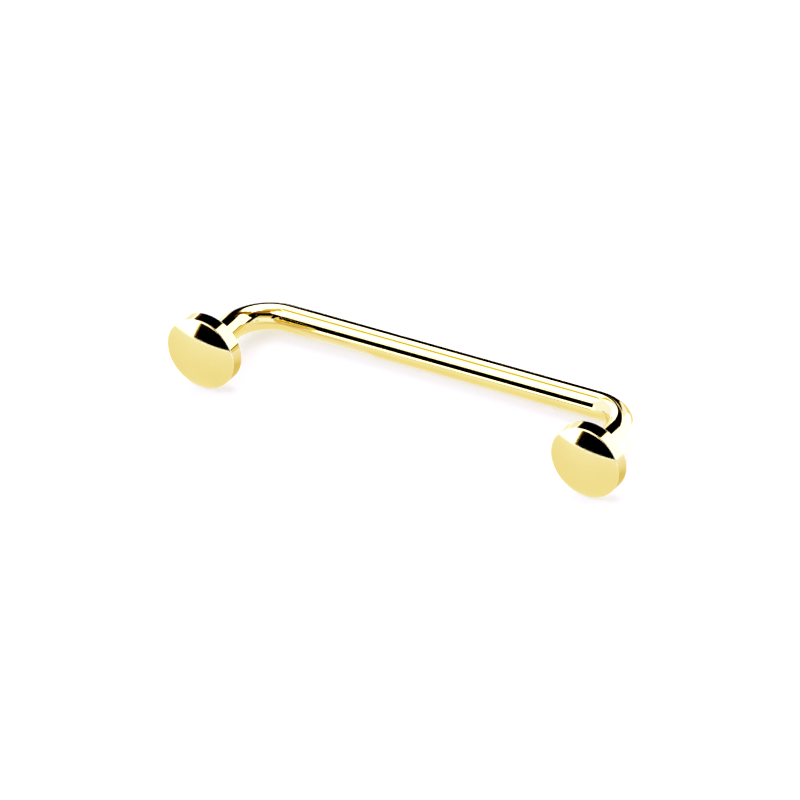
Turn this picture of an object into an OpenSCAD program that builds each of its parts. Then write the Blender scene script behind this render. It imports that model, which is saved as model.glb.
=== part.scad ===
// Surface barbell: a round wire staple with a domed disc on the end of each leg.
// Lengths are in millimetres. It lies on its side on the floor, +Z up, with the bar along X.
// The origin is on the floor under the middle of the outline.

/* [Wire] */
// Diameter of the round wire
wire_d = 1.6; // [1.2:0.1:2]
// Distance between the centre lines of the two legs
leg_spacing = 25.8; // [16:0.2:40]
// Height from the centre line of the bar to the back of a disc
leg_height = 4.8; // [4.4:0.1:8]
// Radius of the bends, measured on the centre line of the wire
bend_radius = 2.5; // [1.4:0.1:2.6]

/* [Discs] */
// Diameter of each disc
disc_d = 4.5; // [3.6:0.1:6]
// Height of the straight rim, chamfers included
rim_height = 0.9; // [0.6:0.1:1.4]
// Rise of the domed face above the rim
dome_rise = 0.2; // [0.1:0.05:0.3]
// Width of the small chamfer on both edges of the rim
edge_chamfer = 0.06; // [0.02:0.02:0.1]

/* [Hidden fastening] */
// Diameter of the plain pin behind each disc
pin_d = 0.9; // [0.6:0.1:0.9]
// Length of the pin below the end of the leg
pin_length = 1.6; // [1:0.1:1.8]
// Depth of the shallow seat in the back of a disc that takes the end of the leg
seat_depth = 0.2; // [0.1:0.05:0.3]
// Gap between the leg and the disc, all round the pin and the seat
fit_gap = 0.03; // [0.01:0.01:0.05]

/* [Hidden] */
$fn = 72;
gold = [0.93, 0.79, 0.42];
wire_r = wire_d / 2;
disc_r = disc_d / 2;
pin_r = pin_d / 2;
straight_length = leg_spacing - 2 * bend_radius;

// The leg ends inside the seat, one gap short of its floor.
leg_end = leg_height + seat_depth - fit_gap;
bore_depth = pin_length + fit_gap;
pin_overlap = 0.3;

// The domed face is part of a sphere that rises over a circle just inside the chamfer.
face_r = disc_r - edge_chamfer;
dome_sphere_r = (face_r * face_r + dome_rise * dome_rise) / (2 * dome_rise);

// At rest a flat floor touches the side of the wire and the back edge of each rim.
// contact_height is how far along the leg that edge is, and tilt is the slope of the staple's plane.
contact_height = leg_height + edge_chamfer;
contact_reach = norm([contact_height, disc_r]);
tilt = atan(disc_r / contact_height) - asin(wire_r / contact_reach);

// The back of the outline is the side of the bar, and its front is the lower edge of a disc's face,
// or the dome itself where the dome is steeper at its edge than the tilt.
face_height = leg_height + rim_height;
edge_slope = asin(face_r / dome_sphere_r);
edge_reach = face_height * cos(tilt) + face_r * sin(tilt);
dome_reach = (face_height + dome_rise - dome_sphere_r) * cos(tilt) + dome_sphere_r;
front_reach = edge_slope > tilt ? dome_reach : edge_reach;
bar_setback = (front_reach - wire_r) / 2;

// Lays the staple on its side. Before that the bar is along X and the legs point along Z.
module lying_down() {
  translate([0, bar_setback, wire_r])
    rotate([90 - tilt, 0, 0])
      children();
}

// The straight middle of the wire.
module bar() {
  translate([-straight_length / 2, 0, 0])
    rotate([0, 90, 0])
      cylinder(h = straight_length, r = wire_r);
}

// One bend and its leg, at the right end. The bend turns from the bar's direction to the leg's.
module bend_and_leg() {
  translate([straight_length / 2, 0, bend_radius])
    rotate([90, 0, 0])
      rotate_extrude(angle = 90, start = -90)
        translate([bend_radius, 0])
          circle(r = wire_r);
  translate([leg_spacing / 2, 0, bend_radius])
    cylinder(h = leg_end - bend_radius, r = wire_r);
}

// The blind bore in the end of the right leg.
module leg_bore() {
  translate([leg_spacing / 2, 0, leg_end - bore_depth])
    cylinder(h = bore_depth + fit_gap, r = pin_r + fit_gap);
}

module staple_bar() {
  color(gold)
    lying_down()
      difference() {
        union() {
          bar();
          bend_and_leg();
          mirror([1, 0, 0])
            bend_and_leg();
        }
        leg_bore();
        mirror([1, 0, 0])
          leg_bore();
      }
}

// Half of the disc's section: the rim with its two chamfers, up to the foot of the dome.
module rim_section() {
  polygon([
    [0, 0],
    [disc_r - edge_chamfer, 0],
    [disc_r, edge_chamfer],
    [disc_r, rim_height - edge_chamfer],
    [face_r, rim_height],
    [0, rim_height]
  ]);
}

// Half of the section of the domed cap above the rim.
module dome_section() {
  intersection() {
    translate([0, rim_height + dome_rise - dome_sphere_r])
      circle(r = dome_sphere_r, $fn = 720);
    translate([0, rim_height])
      square([disc_r, dome_rise + edge_chamfer]);
  }
}

// Half of the section of the seat that takes the end of the leg.
module seat_section() {
  translate([0, -seat_depth])
    square([wire_r + fit_gap, 2 * seat_depth]);
}

// Half of the section of the hidden pin, from inside the disc to its free end in the leg.
module pin_section() {
  translate([0, seat_depth - fit_gap - pin_length])
    square([pin_r, pin_length + fit_gap + pin_overlap]);
}

// A disc with its pin, its back at z = 0 and its domed face up.
module disc() {
  rotate_extrude()
    union() {
      difference() {
        union() {
          rim_section();
          dome_section();
        }
        seat_section();
      }
      pin_section();
    }
}

module left_disc() {
  color(gold)
    lying_down()
      translate([-leg_spacing / 2, 0, leg_height])
        disc();
}

module right_disc() {
  color(gold)
    lying_down()
      translate([leg_spacing / 2, 0, leg_height])
        disc();
}

staple_bar();
left_disc();
right_disc();
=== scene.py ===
"""Dresses the surface barbell: mirror-polished gold on a bent wire and its two domed discs.

Lengths are metres in the part's own frame: the piece lies on its side on the floor, +Z up, with the
bar along X and the legs towards -Y. Each piece is first worked out upright, the bar along X and the
legs along +Z, and is then laid down in the same way as the solids.
"""

import logging
import math
from dataclasses import dataclass
from enum import Enum

import bpy
import numpy as np
from mathutils import Matrix, Vector
from numpy.typing import NDArray


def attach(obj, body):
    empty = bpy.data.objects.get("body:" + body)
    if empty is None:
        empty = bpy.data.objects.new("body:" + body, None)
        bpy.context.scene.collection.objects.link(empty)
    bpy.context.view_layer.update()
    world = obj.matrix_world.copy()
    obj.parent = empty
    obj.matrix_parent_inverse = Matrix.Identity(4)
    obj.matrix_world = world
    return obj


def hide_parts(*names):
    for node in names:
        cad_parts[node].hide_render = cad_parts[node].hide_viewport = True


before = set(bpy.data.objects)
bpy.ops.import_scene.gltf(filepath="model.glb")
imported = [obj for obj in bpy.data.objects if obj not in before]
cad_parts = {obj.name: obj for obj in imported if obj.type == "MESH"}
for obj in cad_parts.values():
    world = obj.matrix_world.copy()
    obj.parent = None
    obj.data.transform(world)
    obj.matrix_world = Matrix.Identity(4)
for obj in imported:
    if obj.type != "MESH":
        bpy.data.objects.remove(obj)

log = logging.getLogger("barbell")
Floats = NDArray[np.float64]
Triple = tuple[float, float, float]
Colour = Triple
Range = tuple[float, float]
Socket = bpy.types.NodeSocket

# places and lights of a colour ramp
Stops = list[tuple[float, Colour]]

# rows of a section: place along its axis, radius and wear
Rows = tuple[Floats, Floats, Floats]
Run = tuple[Floats | float, Floats | float, Floats | float]

MM = 0.001
HALF_TURN = 180.0
SECTION_MAP = "section_mm"
EDGE_WEAR = "edge_wear"


class Side(Enum):
    """The end of the bar that a disc sits on, with the sign of its X."""

    LEFT = -1
    RIGHT = 1


# surfaces


def steps(start: float, stop: float, count: int, last: bool = False) -> Floats:
    """Evenly spaced values from start towards stop.

    Args:
        start: The first value.
        stop: The value that the row runs to.
        count: How many values there are.
        last: Whether stop is one of them.

    Returns:
        The values.
    """
    return np.linspace(start, stop, count, endpoint=last)


def between(start: float, stop: float, count: int) -> Floats:
    """Evenly spaced values past start and short of stop.

    Args:
        start: The value that comes before them.
        stop: The value that comes after them.
        count: How many values there are.

    Returns:
        The values.
    """
    return steps(start, stop, count + 1)[1:]


def join_runs(runs: list[Run]) -> Rows:
    """Joins runs of section rows end to end. A single number in a run holds for all its rows.

    Args:
        runs: Place along the axis, radius and wear of the rows of each run.

    Returns:
        Place, radius and wear of all the rows, each of shape (rows,).
    """
    place, radius, wear = zip(*(np.broadcast_arrays(*run) for run in runs))
    return np.concatenate(place), np.concatenate(radius), np.concatenate(wear)


def section_map(rings: Floats, place: Floats, radius: Floats) -> Floats:
    """Where the corners of a closed surface lie on its map, in millimetres.

    The map's u is the length travelled along the section, the sum of its steps in place and radius.
    Its v is the share of a turn round the ring, times the circumference of the widest ring.

    Args:
        rings: Points, shape (rows, columns, 3).
        place: Place of each row along the axis, shape (rows,).
        radius: Radius of each row, shape (rows,).

    Returns:
        u and v of the corners of the quads and of both fans, shape (corners, 2).
    """
    rows, columns, _ = rings.shape
    travelled = np.concatenate([[0], np.cumsum(np.hypot(np.diff(place), np.diff(radius)))])
    reach = np.linalg.norm(rings - rings.mean(axis=1, keepdims=True), axis=-1).max()
    turn = np.arange(columns + 1) / columns
    across = turn * 2 * math.pi * reach / MM

    u = np.broadcast_to(travelled[:, None] / MM, (rows, columns))
    near, far = (np.broadcast_to(edge, (rows - 1, columns)) for edge in (across[:-1], across[1:]))
    quad_u = np.stack([u[:-1], u[:-1], u[1:], u[1:]], axis=-1)
    quad_v = np.stack([near, far, far, near], axis=-1)
    start_u, end_u = (np.repeat(row, 3) for row in (u[0], u[-1]))
    fan_v = np.stack([across[:-1], across[1:], across[:-1]], axis=-1)
    return np.stack(
        [
            np.concatenate([quad_u.ravel(), start_u, end_u]),
            np.concatenate([quad_v.ravel(), fan_v.ravel(), fan_v.ravel()]),
        ],
        axis=-1,
    )


def closed_surface(name: str, rings: Floats, poles: Floats, rows: Rows) -> bpy.types.Object:
    """A closed mesh from a stack of rings and a pole at each end.

    Ring i and column j is vertex i * columns + j. A face joins (i, j), (i, j+1), (i+1, j+1) and
    (i+1, j), so its normal is the turn direction times the row direction. The two poles close the
    first and the last ring with fans of triangles.

    Args:
        name: The piece's name.
        rings: Points, shape (rows, columns, 3), turning anticlockwise about the row direction.
        poles: The two end points, shape (2, 3).
        rows: Place along the axis, radius and wear of each row.

    Returns:
        The new object, smooth shaded, with its section map and its edge wear.
    """
    count, columns, _ = rings.shape
    place, radius, wear = rows
    points = np.concatenate([rings.reshape(-1, 3), poles])
    here = np.arange(count * columns).reshape(count, columns)
    there = np.roll(here, -1, axis=1)
    first_pole, last_pole = count * columns, count * columns + 1
    quads = np.stack([here[:-1], there[:-1], there[1:], here[1:]], axis=-1).reshape(-1, 4)
    start_fan = np.stack([np.full(columns, first_pole), there[0], here[0]], axis=-1)
    end_fan = np.stack([here[-1], there[-1], np.full(columns, last_pole)], axis=-1)
    corners = np.concatenate([quads.ravel(), start_fan.ravel(), end_fan.ravel()])
    corner_counts = np.concatenate([np.full(len(quads), 4), np.full(2 * columns, 3)])

    mesh = bpy.data.meshes.new(name)
    mesh.vertices.add(len(points))
    mesh.vertices.foreach_set("co", points.astype(np.float32).ravel())
    mesh.loops.add(len(corners))
    mesh.loops.foreach_set("vertex_index", corners.astype(np.int32))
    mesh.polygons.add(len(corner_counts))
    loop_starts = np.cumsum(corner_counts) - corner_counts
    mesh.polygons.foreach_set("loop_start", loop_starts.astype(np.int32))
    mesh.polygons.foreach_set("use_smooth", np.ones(len(corner_counts), bool))
    mesh.update(calc_edges=True)

    uv = mesh.uv_layers.new(name=SECTION_MAP)
    uv.uv.foreach_set("vector", section_map(rings, place, radius).astype(np.float32).ravel())
    rubbed = mesh.attributes.new(EDGE_WEAR, "FLOAT", "POINT")
    values = np.concatenate([np.repeat(wear, columns), wear[[0, -1]]])
    rubbed.data.foreach_set("value", values.astype(np.float32))
    mesh.validate()

    piece = bpy.data.objects.new(name, mesh)
    bpy.context.scene.collection.objects.link(piece)
    return piece


def flat_card(name: str, corners: list[list[float]], finish: bpy.types.Material) -> bpy.types.Object:
    """A flat card with one face.

    Args:
        name: The card's name.
        corners: Its outline.
        finish: Its material.

    Returns:
        The new object.
    """
    mesh = bpy.data.meshes.new(name)
    mesh.from_pydata(corners, [], [tuple(range(len(corners)))])
    mesh.materials.append(finish)
    card = bpy.data.objects.new(name, mesh)
    bpy.context.scene.collection.objects.link(card)
    return card


# sizes shared by the pieces


@dataclass(frozen=True)
class StapleSizes:
    """The driving dimensions, equal to those of the solids."""

    wire_d: float = 1.6 * MM
    leg_spacing: float = 25.8 * MM
    leg_height: float = 4.8 * MM
    bend_radius: float = 2.5 * MM
    disc_d: float = 4.5 * MM
    rim_height: float = 0.9 * MM
    dome_rise: float = 0.2 * MM
    edge_chamfer: float = 0.06 * MM
    pin_d: float = 0.9 * MM
    pin_length: float = 1.6 * MM
    seat_depth: float = 0.2 * MM
    fit_gap: float = 0.03 * MM

    @property
    def wire_r(self) -> float:
        """Radius of the wire."""
        return self.wire_d / 2

    @property
    def disc_r(self) -> float:
        """Radius of a disc."""
        return self.disc_d / 2

    @property
    def pin_r(self) -> float:
        """Radius of the pin behind a disc."""
        return self.pin_d / 2

    @property
    def leg_end(self) -> float:
        """Height of the leg's end above the bar's centre line."""
        return self.leg_height + self.seat_depth - self.fit_gap

    @property
    def leg_length(self) -> float:
        """Length of a leg's straight stretch."""
        return self.leg_end - self.bend_radius

    @property
    def bend_length(self) -> float:
        """Length of a bend's centre line, a quarter circle."""
        return self.bend_radius * math.pi / 2

    @property
    def bar_length(self) -> float:
        """Length of the bar's straight stretch."""
        return self.leg_spacing - 2 * self.bend_radius

    @property
    def wire_length(self) -> float:
        """Length of the whole wire's centre line."""
        return 2 * (self.leg_length + self.bend_length) + self.bar_length

    @property
    def face_r(self) -> float:
        """Radius of the circle that the dome rises over."""
        return self.disc_r - self.edge_chamfer

    @property
    def dome_sphere_r(self) -> float:
        """Radius of the sphere that the dome is part of."""
        return (self.face_r**2 + self.dome_rise**2) / (2 * self.dome_rise)

    @property
    def tilt(self) -> float:
        """Slope of the staple's plane at rest: the floor touches the wire and the rims' back edges."""
        contact = self.leg_height + self.edge_chamfer
        return math.atan(self.disc_r / contact) - math.asin(self.wire_r / math.hypot(contact, self.disc_r))

    @property
    def bar_setback(self) -> float:
        """How far the bar's centre line lies behind the origin."""
        face_height = self.leg_height + self.rim_height
        front = face_height * math.cos(self.tilt) + self.face_r * math.sin(self.tilt)
        return (front - self.wire_r) / 2

    def lay_down(self, upright: Floats) -> Floats:
        """Puts upright points on the floor, turned about X by a right angle less the tilt.

        Args:
            upright: Points with the legs along +Z, shape (..., 3).

        Returns:
            The same points in the part's frame.
        """
        turn = math.pi / 2 - self.tilt
        c, s = math.cos(turn), math.sin(turn)
        about_x = np.array([[1, 0, 0], [0, c, -s], [0, s, c]])
        return upright @ about_x.T + np.array([0, self.bar_setback, self.wire_r])


# finishes


# on a Mix node the colour sockets come after those of its other kinds
MIX_COLOUR_INPUTS = (6, 7)
MIX_COLOUR_OUTPUT = 2


class NodeSheet:
    """The node tree of a material or of the world, with short ways to add and join nodes."""

    def __init__(self, owner: bpy.types.Material | bpy.types.World) -> None:
        """Starts with no nodes.

        Args:
            owner: The material or the world.
        """
        owner.use_nodes = True
        self.tree = owner.node_tree
        self.tree.nodes.clear()

    def add(self, kind: str, **settings: object) -> bpy.types.Node:
        """A new node with some of its settings.

        Args:
            kind: The node's type.
            **settings: Values of the node's own properties.

        Returns:
            The node.
        """
        node = self.tree.nodes.new(kind)
        for key, value in settings.items():
            setattr(node, key, value)
        return node

    def feed(self, into: Socket, value: Socket | Colour | float) -> None:
        """Joins an output to an input, or sets the input to a colour or a number.

        Args:
            into: The input.
            value: What it gets.
        """
        if isinstance(value, Socket):
            self.tree.links.new(value, into)
        elif isinstance(value, tuple):
            into.default_value = (*value, 1.0)
        else:
            into.default_value = value

    def place(self, reading: str) -> Socket:
        """One of the readings of Texture Coordinate."""
        return self.add("ShaderNodeTexCoord").outputs[reading]

    def axes(self, vector: Socket) -> tuple[Socket, Socket, Socket]:
        """X, Y and Z of a vector.

        Args:
            vector: The vector.

        Returns:
            Its three parts.
        """
        node = self.add("ShaderNodeSeparateXYZ")
        self.feed(node.inputs["Vector"], vector)
        x, y, z = node.outputs
        return x, y, z

    def maths(self, operation: str, *values: Socket | float, label: str = "") -> Socket:
        """One arithmetic step.

        Args:
            operation: The step.
            *values: Its values.
            label: What the node is called in the node editor.

        Returns:
            The result.
        """
        node = self.add("ShaderNodeMath", operation=operation, label=label)
        for socket, value in zip(node.inputs, values):
            self.feed(socket, value)
        return node.outputs["Value"]

    def noise(self, vector: Socket, scale: float, detail: float, roughness: float = 0.5) -> Socket:
        """Fractal noise over a vector, from 0 to 1.

        Args:
            vector: Where the pattern is read.
            scale: Features per unit of the vector.
            detail: Octaves.
            roughness: How strong the finer octaves are.

        Returns:
            The noise value.
        """
        node = self.add("ShaderNodeTexNoise")
        self.feed(node.inputs["Vector"], vector)
        self.feed(node.inputs["Scale"], scale)
        self.feed(node.inputs["Detail"], detail)
        self.feed(node.inputs["Roughness"], roughness)
        return node.outputs["Fac"]

    def stretch(self, vector: Socket, scale: Triple) -> Socket:
        """A vector scaled along each axis.

        Args:
            vector: The vector.
            scale: The factor along each axis.

        Returns:
            The scaled vector.
        """
        node = self.add("ShaderNodeMapping")
        self.feed(node.inputs["Vector"], vector)
        node.inputs["Scale"].default_value = scale
        return node.outputs["Vector"]

    def span(self, value: Socket, old: Range, new: Range = (0.0, 1.0), smooth: bool = False) -> Socket:
        """Carries a value from one range to another, held at its ends.

        Args:
            value: The value to carry over.
            old: Its range.
            new: The result's range.
            smooth: Whether the slope fades out at both ends.

        Returns:
            The new value.
        """
        node = self.add("ShaderNodeMapRange")
        if smooth:
            node.interpolation_type = "SMOOTHSTEP"
        self.feed(node.inputs["Value"], value)
        for key, number in zip(("From Min", "From Max", "To Min", "To Max"), (*old, *new)):
            self.feed(node.inputs[key], number)
        return node.outputs["Result"]

    def blend(self, share: Socket, low: Socket | Colour, high: Socket | Colour) -> Socket:
        """A mix of two colours.

        Args:
            share: How much of the second colour there is.
            low: The first colour.
            high: The second colour.

        Returns:
            The mixed colour.
        """
        node = self.add("ShaderNodeMix", data_type="RGBA")
        self.feed(node.inputs["Factor"], share)
        for place, colour in zip(MIX_COLOUR_INPUTS, (low, high)):
            self.feed(node.inputs[place], colour)
        return node.outputs[MIX_COLOUR_OUTPUT]

    def ramp(self, value: Socket, stops: Stops, white: float) -> Socket:
        """A colour ramp whose lights may pass 1: it holds them divided by the white.

        Args:
            value: Where on the ramp to read.
            stops: Place and light of each stop, in order, the first at 0 and the last at 1.
            white: The brightest light that the ramp can hold.

        Returns:
            The light divided by the white.
        """
        node = self.add("ShaderNodeValToRGB")
        elements = node.color_ramp.elements
        while len(elements) < len(stops):
            elements.new(1.0)
        for element, (place, light) in zip(elements, stops):
            element.position = place
            element.color = (*(channel / white for channel in light), 1.0)
        self.feed(node.inputs["Fac"], value)
        return node.outputs["Color"]

    def show(self, kind: str, shader: Socket) -> None:
        """Joins a shader to a new output node of the kind named."""
        self.feed(self.add(kind).inputs["Surface"], shader)

    def principled(self) -> dict[str, Socket]:
        """A Principled shader that the material shows.

        Returns:
            The shader's inputs by name.
        """
        shader = self.add("ShaderNodeBsdfPrincipled")
        self.show("ShaderNodeOutputMaterial", shader.outputs["BSDF"])
        return dict(shader.inputs.items())


@dataclass(frozen=True)
class PolishedGold:
    """Mirror-polished gold-coloured coating: clean, with faint buffing marks and softly rubbed edges.

    The drift, the haze and the patches of rubbing have their scales in features per metre. The
    buffing runs round the piece, so its lines are long across the section map's v and short along u.
    """

    name: str = "polished_gold"
    tone: Colour = (0.88, 0.73, 0.29)
    deep_tone: Colour = (0.86, 0.70, 0.26)
    drift_scale: float = 420.0
    drift_range: Range = (0.35, 0.65)
    rubbed_tone: Colour = (0.90, 0.78, 0.40)
    rubbing_scale: float = 3800.0
    rubbing_share: Range = (0.35, 1.0)
    noise_range: Range = (0.3, 0.7)
    roughness: float = 0.035
    roughness_spread: float = 0.02
    edge_roughness: float = 0.08
    haze_scale: float = 900.0
    buffing_per_mm: Triple = (26.0, 1.3, 1.0)
    buffing_roughness: float = 0.004
    buffing_depth: float = 0.0004 * MM

    def make(self) -> bpy.types.Material:
        """Builds the material's nodes.

        Returns:
            The material.
        """
        material = bpy.data.materials.new(self.name)
        sheet = NodeSheet(material)
        shader = sheet.principled()
        place = sheet.place("Object")
        section = sheet.add("ShaderNodeUVMap", uv_map=SECTION_MAP).outputs["UV"]
        worn = sheet.add("ShaderNodeAttribute", attribute_name=EDGE_WEAR).outputs["Fac"]

        # slow drifts of tone in the coating, two or three millimetres across
        drift = sheet.span(sheet.noise(place, self.drift_scale, detail=3.0), self.drift_range)
        tone = sheet.blend(drift, self.tone, self.deep_tone)
        patches = sheet.noise(place, self.rubbing_scale, detail=4.0)
        rubbed = sheet.maths("MULTIPLY", worn, sheet.span(patches, self.noise_range, self.rubbing_share))
        sheet.feed(shader["Base Color"], sheet.blend(rubbed, tone, self.rubbed_tone))

        # the roughness is the haze's, give or take the buffing's, and more where an edge is rubbed
        haze = sheet.noise(place, self.haze_scale, detail=4.0, roughness=0.6)
        low = self.roughness - self.roughness_spread / 2
        high = self.roughness + self.roughness_spread / 2
        clean = sheet.span(haze, self.noise_range, (low, high))
        lines = sheet.noise(sheet.stretch(section, self.buffing_per_mm), 1.0, detail=5.0, roughness=0.65)
        buffed = sheet.span(lines, self.noise_range, (-self.buffing_roughness, self.buffing_roughness))
        edge = sheet.maths("MULTIPLY", rubbed, self.edge_roughness - self.roughness)
        sheet.feed(shader["Roughness"], sheet.maths("ADD", sheet.maths("ADD", clean, buffed), edge))

        bump = sheet.add("ShaderNodeBump")
        sheet.feed(bump.inputs["Strength"], 1.0)
        sheet.feed(bump.inputs["Distance"], self.buffing_depth)
        sheet.feed(bump.inputs["Height"], lines)
        sheet.feed(shader["Normal"], bump.outputs["Normal"])
        sheet.feed(shader["Metallic"], 1.0)
        return material


@dataclass(frozen=True)
class PaleCard:
    """Matt off-white card for the floor, lit a little from below as on a light table."""

    name: str = "pale_card"
    tone: Colour = (0.62, 0.62, 0.61)
    roughness: float = 0.9
    glow_tone: Colour = (1.0, 1.0, 1.0)
    glow: float = 0.45

    def make(self) -> bpy.types.Material:
        """Builds the material's nodes.

        Returns:
            The material.
        """
        material = bpy.data.materials.new(self.name)
        sheet = NodeSheet(material)
        shader = sheet.principled()
        sheet.feed(shader["Base Color"], self.tone)
        sheet.feed(shader["Roughness"], self.roughness)
        sheet.feed(shader["Specular IOR Level"], 0.0)
        sheet.feed(shader["Emission Color"], self.glow_tone)
        sheet.feed(shader["Emission Strength"], self.glow)
        return material


# pieces


@dataclass
class StapleBar:
    """The round wire: bar, two bends and two legs, with a plain bore in the end of each leg."""

    sizes: StapleSizes
    finish: bpy.types.Material
    lip: float = 0.05 * MM
    columns: int = 160
    bore_rows: int = 12
    end_rows: int = 4
    lip_rows: int = 7
    leg_rows: int = 25
    bend_rows: int = 48
    bar_rows: int = 160

    def centre_line(self, travelled: Floats) -> tuple[Floats, Floats]:
        """Where the wire's centre line is, and which way is outwards in the staple's plane.

        The left half runs down the leg, through a quarter circle and along the bar. The right half
        is its mirror image, read from the other end.

        Args:
            travelled: Distances along the centre line from the end of the left leg, shape (n,).

        Returns:
            Centre points and outward unit vectors, upright, each of shape (n, 3).
        """
        s = self.sizes
        near = np.minimum(travelled, s.wire_length - travelled)
        side = np.where(travelled > s.wire_length / 2, 1.0, -1.0)
        angle = np.clip((near - s.leg_length) / s.bend_radius, 0, math.pi / 2)
        on_leg = np.maximum(s.leg_length - near, 0)
        on_bar = np.maximum(near - s.leg_length - s.bend_length, 0)
        outward = np.stack([side * np.cos(angle), np.zeros_like(angle), -np.sin(angle)], axis=-1)
        x = side * (s.leg_spacing / 2 - s.bend_radius * (1 - np.cos(angle)) - on_bar)
        z = s.bend_radius * (1 - np.sin(angle)) + on_leg
        return np.stack([x, np.zeros_like(x), z], axis=-1), outward

    def half_section(self) -> Rows:
        """Rows from the floor of the left bore to the left bend.

        The rows run up the bore, out over the leg's end, round its lip by a quarter circle and down
        the leg.

        Returns:
            Distance along the centre line, radius and wear of each row, each of shape (n,).
        """
        s = self.sizes
        lip = self.lip
        bore_r, depth = s.pin_r + s.fit_gap, s.pin_length + s.fit_gap
        turn = steps(0, math.pi / 2, self.lip_rows, last=True)
        return join_runs(
            [
                (steps(depth, 0, self.bore_rows), bore_r, 0.0),
                (0.0, steps(bore_r, s.wire_r - lip, self.end_rows), 0.0),
                (lip * (1 - np.cos(turn)), s.wire_r - lip * (1 - np.sin(turn)), 1.0),
                (between(lip, s.leg_length, self.leg_rows), s.wire_r, 0.0),
            ]
        )

    def build(self) -> bpy.types.Object:
        """Carries the section along the centre line and closes it at the floors of both bores.

        A ring is its centre plus its radius times the cosine of the turn outwards and the sine
        sideways.

        Returns:
            The dressed piece.
        """
        s = self.sizes
        place, radius, wear = self.half_section()
        bar_start = s.leg_length + s.bend_length
        bar_end = bar_start + s.bar_length
        middle = np.concatenate(
            [
                s.leg_length + steps(0, s.bend_length, self.bend_rows),
                bar_start + steps(0, s.bar_length, self.bar_rows),
                bar_end + steps(0, s.bend_length, self.bend_rows, last=True),
            ]
        )
        rows = join_runs(
            [
                (place, radius, wear),
                (middle, s.wire_r, 0.0),
                (s.wire_length - place[::-1], radius[::-1], wear[::-1]),
            ]
        )

        place, radius, _ = rows
        centre, outward = self.centre_line(place)
        turn = steps(0, 2 * math.pi, self.columns)
        sideways = np.array([0.0, 1.0, 0.0])
        spokes = np.cos(turn)[:, None] * outward[:, None, :] + np.sin(turn)[:, None] * sideways
        rings = centre[:, None, :] + radius[:, None, None] * spokes
        poles = centre[[0, -1]]
        piece = closed_surface("staple_bar_polished", s.lay_down(rings), s.lay_down(poles), rows)
        piece.data.materials.append(self.finish)
        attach(piece, "root")
        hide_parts("staple_bar")
        return piece


@dataclass
class DiscEnd:
    """A turned disc: domed face, rounded edges, straight rim, flat back, and the pin in the leg."""

    sizes: StapleSizes
    finish: bpy.types.Material
    side: Side
    edge_round: float = 0.05 * MM
    columns: int = 256
    pin_rows: int = 14
    seat_rows: int = 4
    seat_wall_rows: int = 6
    back_rows: int = 16
    back_edge_rows: int = 9
    rim_rows: int = 13
    front_edge_rows: int = 13
    dome_rows: int = 59

    def section(self) -> Rows:
        """Half of the disc's section, from the pin's free end to the top of the dome.

        The back edge is a quarter circle. The front edge is a small circle that touches the rim
        inside and the dome's sphere inside: its centre is one edge radius in from the rim, and that
        much nearer the sphere's centre.

        Returns:
            Height above the back face, radius and wear of each row, each of shape (n,).
        """
        s = self.sizes
        e = self.edge_round
        seat_r = s.wire_r + s.fit_gap
        pin_end = s.seat_depth - s.fit_gap - s.pin_length
        dome_centre = s.rim_height + s.dome_rise - s.dome_sphere_r
        edge_height = dome_centre + math.sqrt((s.dome_sphere_r - e) ** 2 - (s.disc_r - e) ** 2)
        touch = math.asin((s.disc_r - e) / (s.dome_sphere_r - e))

        back = steps(0, math.pi / 2, self.back_edge_rows, last=True)
        front = steps(0, math.pi / 2 - touch, self.front_edge_rows, last=True)
        dome = between(touch, 0, self.dome_rows)
        return join_runs(
            [
                (steps(pin_end, s.seat_depth, self.pin_rows), s.pin_r, 0.0),
                (s.seat_depth, steps(s.pin_r, seat_r, self.seat_rows), 0.0),
                (steps(s.seat_depth, 0, self.seat_wall_rows), seat_r, 0.0),
                (0.0, steps(seat_r, s.disc_r - e, self.back_rows), 0.0),
                (e * (1 - np.cos(back)), s.disc_r - e * (1 - np.sin(back)), 1.0),
                (between(e, edge_height, self.rim_rows), s.disc_r, 0.0),
                (edge_height + e * np.sin(front), s.disc_r - e * (1 - np.cos(front)), 1.0),
                (dome_centre + s.dome_sphere_r * np.cos(dome), s.dome_sphere_r * np.sin(dome), 0.0),
            ]
        )

    def build(self) -> bpy.types.Object:
        """Turns the section about the leg's axis and closes it at both ends of the axis.

        A ring is the foot of the axis, plus its height along the axis, plus its radius times the
        cosine and the sine of the turn.

        Returns:
            The dressed piece.
        """
        s = self.sizes
        rows = self.section()
        height, radius, _ = rows
        turn = steps(0, 2 * math.pi, self.columns)
        flat = np.stack([np.cos(turn), np.sin(turn), np.zeros_like(turn)], axis=-1)
        axis = np.array([0.0, 0.0, 1.0])
        foot = np.array([self.side.value * s.leg_spacing / 2, 0.0, s.leg_height])
        rings = foot + radius[:, None, None] * flat[None] + height[:, None, None] * axis
        poles = foot + np.array([height[0], s.rim_height + s.dome_rise])[:, None] * axis
        node = f"{self.side.name.lower()}_disc"
        piece = closed_surface(f"{node}_polished", s.lay_down(rings), s.lay_down(poles), rows)
        piece.data.materials.append(self.finish)
        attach(piece, "root")
        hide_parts(node)
        return piece


# studio


@dataclass
class Floor:
    """The plain pale surface that the piece lies on."""

    finish: bpy.types.Material
    half_width: float = 600 * MM

    def build(self) -> bpy.types.Object:
        """A square of card at floor height, left out of mirror images in favour of the studio's glowing
        sheets, which paint its reflection.

        Returns:
            The floor.
        """
        corners = np.array([[-1, -1, 0], [1, -1, 0], [1, 1, 0], [-1, 1, 0]]) * self.half_width
        floor = flat_card("floor", corners.tolist(), self.finish)
        floor.visible_glossy = False
        return floor


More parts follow.
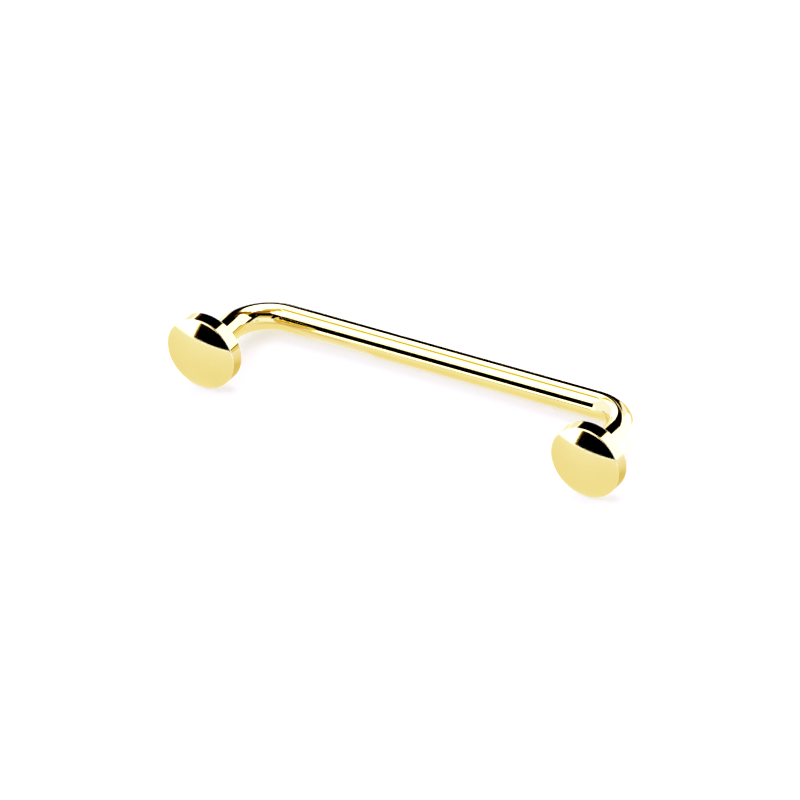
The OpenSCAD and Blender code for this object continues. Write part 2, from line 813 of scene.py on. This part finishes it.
@dataclass
class PhotoCamera:
    """The camera at the photograph's viewing angle, with a long lens.

    Angles are in degrees, azimuth 0 towards -Y. The lens and the sensor are in millimetres, as
    Blender takes them.
    """

    azimuth: float = 40.98
    elevation: float = 45.10
    roll: float = 15.81
    distance: float = 797.55 * MM
    target: Triple = (-0.415 * MM, -1.405 * MM, 1.485 * MM)
    lens: float = 625.7
    sensor: float = 36.0
    clip: Range = (0.01, 10.0)

    def build(self) -> bpy.types.Object:
        """Places the camera and makes it the scene's.

        Returns:
            The camera.
        """
        azimuth, elevation = math.radians(self.azimuth), math.radians(self.elevation)
        away = Vector(
            (
                math.sin(azimuth) * math.cos(elevation),
                -math.cos(azimuth) * math.cos(elevation),
                math.sin(elevation),
            )
        )
        data = bpy.data.cameras.new("photo_camera")
        data.lens = self.lens
        data.sensor_width = self.sensor
        data.clip_start, data.clip_end = self.clip
        camera = bpy.data.objects.new("photo_camera", data)
        level = away.to_track_quat("Z", "Y").to_matrix().to_4x4()
        lean = Matrix.Rotation(-math.radians(self.roll), 4, "Z")
        camera.matrix_world = Matrix.Translation(Vector(self.target) + away * self.distance) @ level @ lean
        bpy.context.scene.collection.objects.link(camera)
        bpy.context.scene.camera = camera
        return camera


# lights of cream and of white board, where 1 is the white that the picture can just show
CREAM: Colour = (1.1, 1.25, 2.2)
WHITE: Colour = (3.0, 2.95, 3.8)


@dataclass(frozen=True)
class Tone:
    """One step of the surroundings' tones: its place from black at 0 to white at 1, and its light."""

    place: float
    light: Colour


TONES = (
    Tone(0.0, (0.0, 0.0, 0.0)),
    Tone(0.2, (0.31, 0.13, 0.0)),
    Tone(0.4, (0.60, 0.30, 0.03)),
    Tone(0.6, (0.83, 0.57, 0.10)),
    Tone(0.75, (0.95, 0.93, 0.49)),
    Tone(0.85, (1.0, 1.12, 1.26)),
    Tone(0.93, CREAM),
    Tone(1.0, WHITE),
)


@dataclass(frozen=True)
class Panel:
    """A soft-edged rectangle of the surroundings, by direction in degrees, painted over earlier ones.

    Azimuth 0 is towards -Y and 90 towards +X. The tone runs from 0, a black screen, to 1, a white
    board. The lean moves its upright edges sideways by that many degrees of azimuth per degree of
    elevation above its middle, and the rise moves its level edges up by that many degrees of
    elevation per degree of azimuth past its middle.
    """

    name: str
    azimuth: Range
    elevation: Range
    tone: float
    softness: float = 2.0
    lean: float = 0.0
    rise: float = 0.0

    def inside(self, sheet: NodeSheet, offset: Socket, edges: Range) -> Socket:
        """How far an offset is inside two edges: 0 outside, 1 inside, smooth over the softness.

        Args:
            sheet: The world's nodes.
            offset: Degrees past the middle of the edges.
            edges: Where the panel starts and ends.

        Returns:
            The mask.
        """
        depth = sheet.maths("SUBTRACT", (edges[1] - edges[0]) / 2, sheet.maths("ABSOLUTE", offset))
        return sheet.span(depth, (-self.softness / 2, self.softness / 2), smooth=True)

    def paint(self, sheet: NodeSheet, azimuth: Socket, elevation: Socket, under: Socket) -> Socket:
        """Mixes the panel's tone over what is there already.

        Args:
            sheet: The world's nodes.
            azimuth: The direction's azimuth.
            elevation: The direction's elevation.
            under: The tone so far.

        Returns:
            The new tone.
        """
        past_middle = sheet.maths("SUBTRACT", azimuth, sum(self.azimuth) / 2)
        across = sheet.maths("WRAP", past_middle, HALF_TURN, -HALF_TURN)
        up = sheet.maths("SUBTRACT", elevation, sum(self.elevation) / 2)
        level_across = sheet.maths("SUBTRACT", across, sheet.maths("MULTIPLY", up, self.lean))
        level_up = sheet.maths("SUBTRACT", up, sheet.maths("MULTIPLY", across, self.rise))
        mask = sheet.maths(
            "MULTIPLY",
            self.inside(sheet, level_across, self.azimuth),
            self.inside(sheet, level_up, self.elevation),
        )
        change = sheet.maths("SUBTRACT", self.tone, under)
        return sheet.maths("MULTIPLY_ADD", change, mask, under, label=self.name)


PANELS = (
    Panel("cream_board_left", (-122, -42), (-60, 52), 0.93, 8.0),
    Panel("cream_board_in_front", (-12, 84), (-45, 60), 0.93, 8.0),
    Panel("pale_board_far_left", (-139.5, -124), (-60, 3), 0.86, 3.0),
    Panel("pale_board_far_right", (-181, -158), (-60, 14), 0.9, 3.0, lean=-0.1),
    Panel("ivory_board_right", (110, 182), (-60, 40), 0.97, 4.0),
    Panel("gold_board_above_front", (2, 80), (30, 60), 0.66, 14.0),
    Panel("gold_board_edge", (58, 68), (-40, 12), 0.75, 5.0),
    Panel("gold_ceiling", (-180, 180), (77, 96), 0.6, 5.0),
    Panel("black_screen_in_front", (-32, -8), (-22, 1.5), 0.0, 1.2, lean=0.474),
    Panel("black_screen_left", (-41, 12), (16.5, 49.5), 0.0, 2.0, lean=-0.378, rise=0.25),
    Panel("black_screen_left_top", (-30, 14), (46, 58), 0.0, 3.0, rise=0.45),
    Panel("black_screen_overhead_front", (8, 70), (42.5, 58), 0.0, 4.0),
    Panel("black_screen_overhead", (13, 122), (50, 66), 0.0, 4.0, rise=-0.1),
    Panel("black_screen_right", (78.5, 98.5), (-20, 58), 0.0, 3.0, lean=-0.6),
    Panel("black_screen_overhead_low", (80, 126), (35, 56), 0.0, 3.0, rise=0.46),
    Panel("brown_cloth_overhead", (14, 132), (66, 81), 0.23, 4.0, rise=-0.155),
    Panel("brown_cloth_edge", (124, 160), (46.5, 58), 0.4, 3.0),
    Panel("brown_cloth_edge_low", (150, 180), (42.5, 50.5), 0.2, 4.0, rise=-0.45),
    Panel("brown_cloth_low", (170, 192), (24, 42.5), 0.06, 5.0, rise=-0.72),
    Panel("black_screen_behind", (186, 205), (24, 33), 0.0, 3.0, rise=-0.72),
    Panel("black_screen_behind_low", (165.5, 202), (18, 31.5), 0.0, 2.0, rise=-0.27),
    Panel("black_screen_behind_left", (199, 216), (10.75, 23.6), 0.0, 1.5, rise=-0.95),
    Panel("black_screen_far_left", (-163, -139), (-26, 12), 0.0, 2.0, lean=-0.16),
    Panel("gold_ceiling_left", (-128, -78), (65.5, 80), 0.62, 2.0),
    Panel("gap_between_boards", (-133, -107), (51, 62), 0.66, 2.0),
    Panel("gap_falling_right", (-147, -128), (31, 39), 0.66, 2.0, rise=1.25),
    Panel("gap_rising_left", (-142, -116), (62, 70), 0.66, 2.0, rise=-0.9),
)


@dataclass(frozen=True)
class Sheet:
    """A glowing sheet under the floor that only mirror images show, in millimetres: it paints a reflection
    of the floor in the metal.

    It has its outline from above, its depth under the floor, and its light at places along Y.
    """

    name: str
    outline: tuple[Range, ...]
    drop: float
    tones: tuple[tuple[float, Colour], ...]

    def lay(self, white: float) -> bpy.types.Object:
        """Lays the sheet where the metal mirrors it as its floor.

        Args:
            white: The brightest light of the studio.

        Returns:
            The sheet.
        """
        material = bpy.data.materials.new(self.name)
        sheet = NodeSheet(material)
        _, y, _ = sheet.axes(sheet.place("Object"))
        first, last = self.tones[0][0], self.tones[-1][0]
        along = sheet.span(y, (first * MM, last * MM))
        stops = [((at - first) / (last - first), light) for at, light in self.tones]
        glow = sheet.add("ShaderNodeEmission")
        sheet.feed(glow.inputs["Strength"], white)
        sheet.feed(glow.inputs["Color"], sheet.ramp(along, stops, white))
        sheet.show("ShaderNodeOutputMaterial", glow.outputs["Emission"])

        corners = [[x * MM, y * MM, -self.drop * MM] for x, y in self.outline]
        card = flat_card(self.name, corners, material)
        card.visible_camera = card.visible_diffuse = card.visible_shadow = False
        return card


# painted contact shade under the discs: light on the two glowing sheets that the discs' rims mirror, dark
# gold from y -2.8 to -1.3 mm and brightening to white further back
RIM_PAINTED_SHADE_TONES = (
    (-2.8, (0.82, 0.70, 0.30)),
    (-1.3, (0.82, 0.70, 0.30)),
    (-0.7, (0.93, 0.87, 0.65)),
    (0.0, (0.99, 0.98, 0.95)),
    (1.0, (1.01, 1.02, 1.2)),
    (2.5, (1.04, 1.1, 1.45)),
    (4.2, CREAM),
    (6.5, WHITE),
)

SHEETS = (
    # painted reflection of the floor: white to bluish light in front, with painted shade and a gold cast
    # at y -4.5 mm and from y 1.3 mm back, behind the bar
    Sheet(
        "floor_reflection_painted_shade",
        ((-90, -21.5), (60, -21.5), (60, -2.8), (12.5, -2.8), (12.5, 5.0), (-90, 5.0)),
        0.02,
        (
            (-21.5, WHITE),
            (-20.7, (1.1, 1.25, 2.0)),
            (-19.5, (1.04, 1.12, 1.45)),
            (-14.0, (1.03, 1.07, 1.17)),
            (-4.5, (1.0, 1.0, 0.93)),
            (-3.0, (1.04, 1.11, 1.3)),
            (-1.5, (1.04, 1.11, 1.3)),
            (0.0, (1.01, 1.07, 1.1)),
            (1.3, (1.01, 0.98, 0.75)),
            (5.0, (0.97, 0.93, 0.7)),
        ),
    ),
    # painted contact shade under the left disc, seen only in its rim's mirror image
    Sheet(
        "left_rim_painted_shade",
        ((-13, -2.8), (-9, -2.8), (-4.5, 2), (-4.5, 6.5), (-8, 2.4), (-13, -0.6)),
        0.01,
        RIM_PAINTED_SHADE_TONES,
    ),
    # painted contact shade under the right disc, seen only in its rim's mirror image
    Sheet(
        "right_rim_painted_shade",
        ((14, -2.8), (26, -2.8), (26, 6.5), (21, 6.5), (17.2, 0.9), (14, 0.6)),
        0.01,
        RIM_PAINTED_SHADE_TONES,
    ),
    # painted reflection: an even dim gold light that puts a gold line along the right leg's outer edge
    Sheet(
        "leg_edge_painted_reflection",
        ((11, 3.1), (12.7, 3.1), (14.3, 3.8), (13.0, 5.0), (12.5, 9), (11, 9)),
        0.01,
        ((3.1, (0.92, 0.84, 0.42)), (9.0, (0.92, 0.84, 0.42))),
    ),
    Sheet(
        "cream_card",
        ((-60, -2), (-13.6, -2), (-13.6, 12), (-60, 12)),
        0.01,
        ((-2.0, CREAM), (12.0, CREAM)),
    ),
)


@dataclass
class Studio:
    """Everything that lights the piece: boards and screens round it, and glowing sheets below.

    The boards and screens are painted on the world by direction. The sheets lie just under the floor, and
    only mirror images show them: their light is a painted reflection of the floor, with painted shade near
    the piece. Their front edge is close, so the discs look over it.
    """

    white: float = 4.0
    tones: tuple[Tone, ...] = TONES
    panels: tuple[Panel, ...] = PANELS
    sheets: tuple[Sheet, ...] = SHEETS

    def build(self) -> None:
        """Paints the world and lays the sheets of card."""
        self.paint_world()
        for sheet in self.sheets:
            sheet.lay(self.white)

    def paint_world(self) -> None:
        """Makes the world's nodes: the last tone everywhere, and each panel over what is there."""
        world = bpy.data.worlds.new("studio")
        bpy.context.scene.world = world
        sheet = NodeSheet(world)
        x, y, z = sheet.axes(sheet.place("Generated"))
        back = sheet.maths("MULTIPLY", y, -1.0)
        azimuth = sheet.maths("DEGREES", sheet.maths("ARCTAN2", x, back))
        elevation = sheet.maths("DEGREES", sheet.maths("ARCSINE", z))
        tone = sheet.maths("ADD", self.tones[-1].place, 0.0)
        for panel in self.panels:
            tone = panel.paint(sheet, azimuth, elevation, tone)

        stops = [(step.place, step.light) for step in self.tones]
        light = sheet.add("ShaderNodeBackground")
        sheet.feed(light.inputs["Strength"], self.white)
        sheet.feed(light.inputs["Color"], sheet.ramp(tone, stops, self.white))
        sheet.show("ShaderNodeOutputWorld", light.outputs["Background"])


def main() -> None:
    """Builds the pieces, the floor, the camera and the light, and logs each piece's face count."""
    logging.basicConfig(level=logging.INFO, format="%(message)s")
    bpy.context.scene.view_settings.view_transform = "Standard"
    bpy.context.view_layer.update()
    sizes = StapleSizes()
    gold = PolishedGold().make()
    pieces = [StapleBar(sizes, gold).build()]
    pieces.extend(DiscEnd(sizes, gold, side).build() for side in Side)
    for piece in pieces:
        log.info("%s: %d faces", piece.name, len(piece.data.polygons))
    Floor(PaleCard().make()).build()
    PhotoCamera().build()
    Studio().build()


if __name__ == "__main__":
    main()
